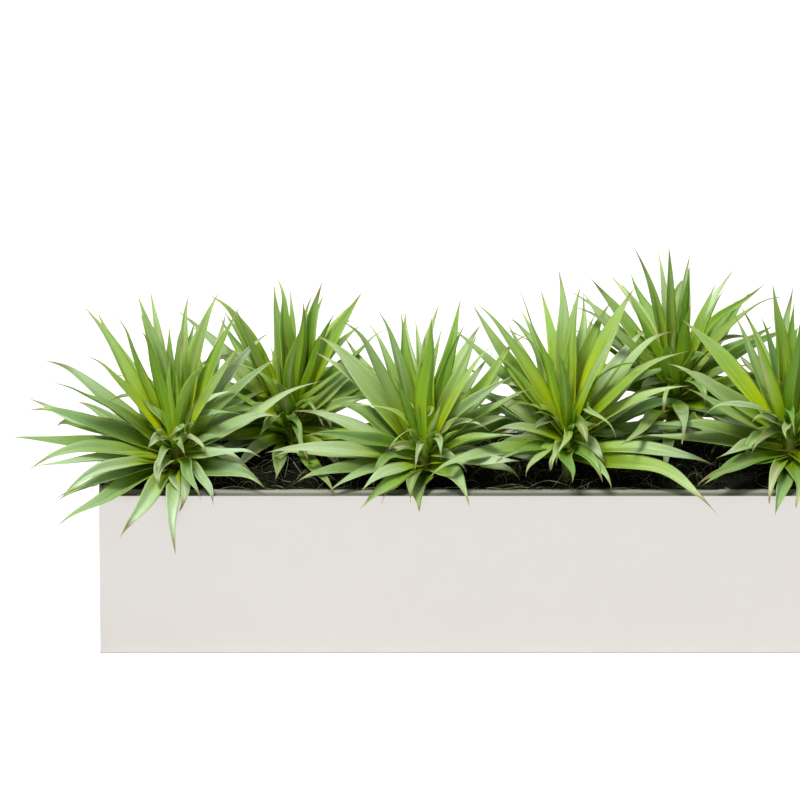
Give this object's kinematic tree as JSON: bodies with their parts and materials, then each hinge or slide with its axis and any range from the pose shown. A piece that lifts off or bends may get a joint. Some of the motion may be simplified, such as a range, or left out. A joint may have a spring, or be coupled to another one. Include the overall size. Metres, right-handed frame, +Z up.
{
  "type": "yucca planter",
  "caption": "Low yucca rosettes planted in two staggered rows in a long rectangular polished steel trough, with dark moss over the soil.",
  "frame": {"origin": "middle of the trough's underside", "axes": "+X along the trough, to the right seen from its front; the front face looks towards -Y; +Z up"},
  "size_m": [1.0766, 0.4317, 0.4702],
  "materials": {
    "polished_steel": "polished",
    "soil": "matte",
    "moss": "matte",
    "leaf": "satin"
  },
  "bodies": {
    "root": {"trough": "polished_steel", "soil_fill": "soil", "moss_mat": "moss", "yucca_front_left": "leaf", "yucca_back_left": "leaf", "yucca_front_mid_left": "leaf", "yucca_front_mid_right": "leaf", "yucca_back_right": "leaf", "yucca_front_right": "leaf"}
  },
  "joints": []
}
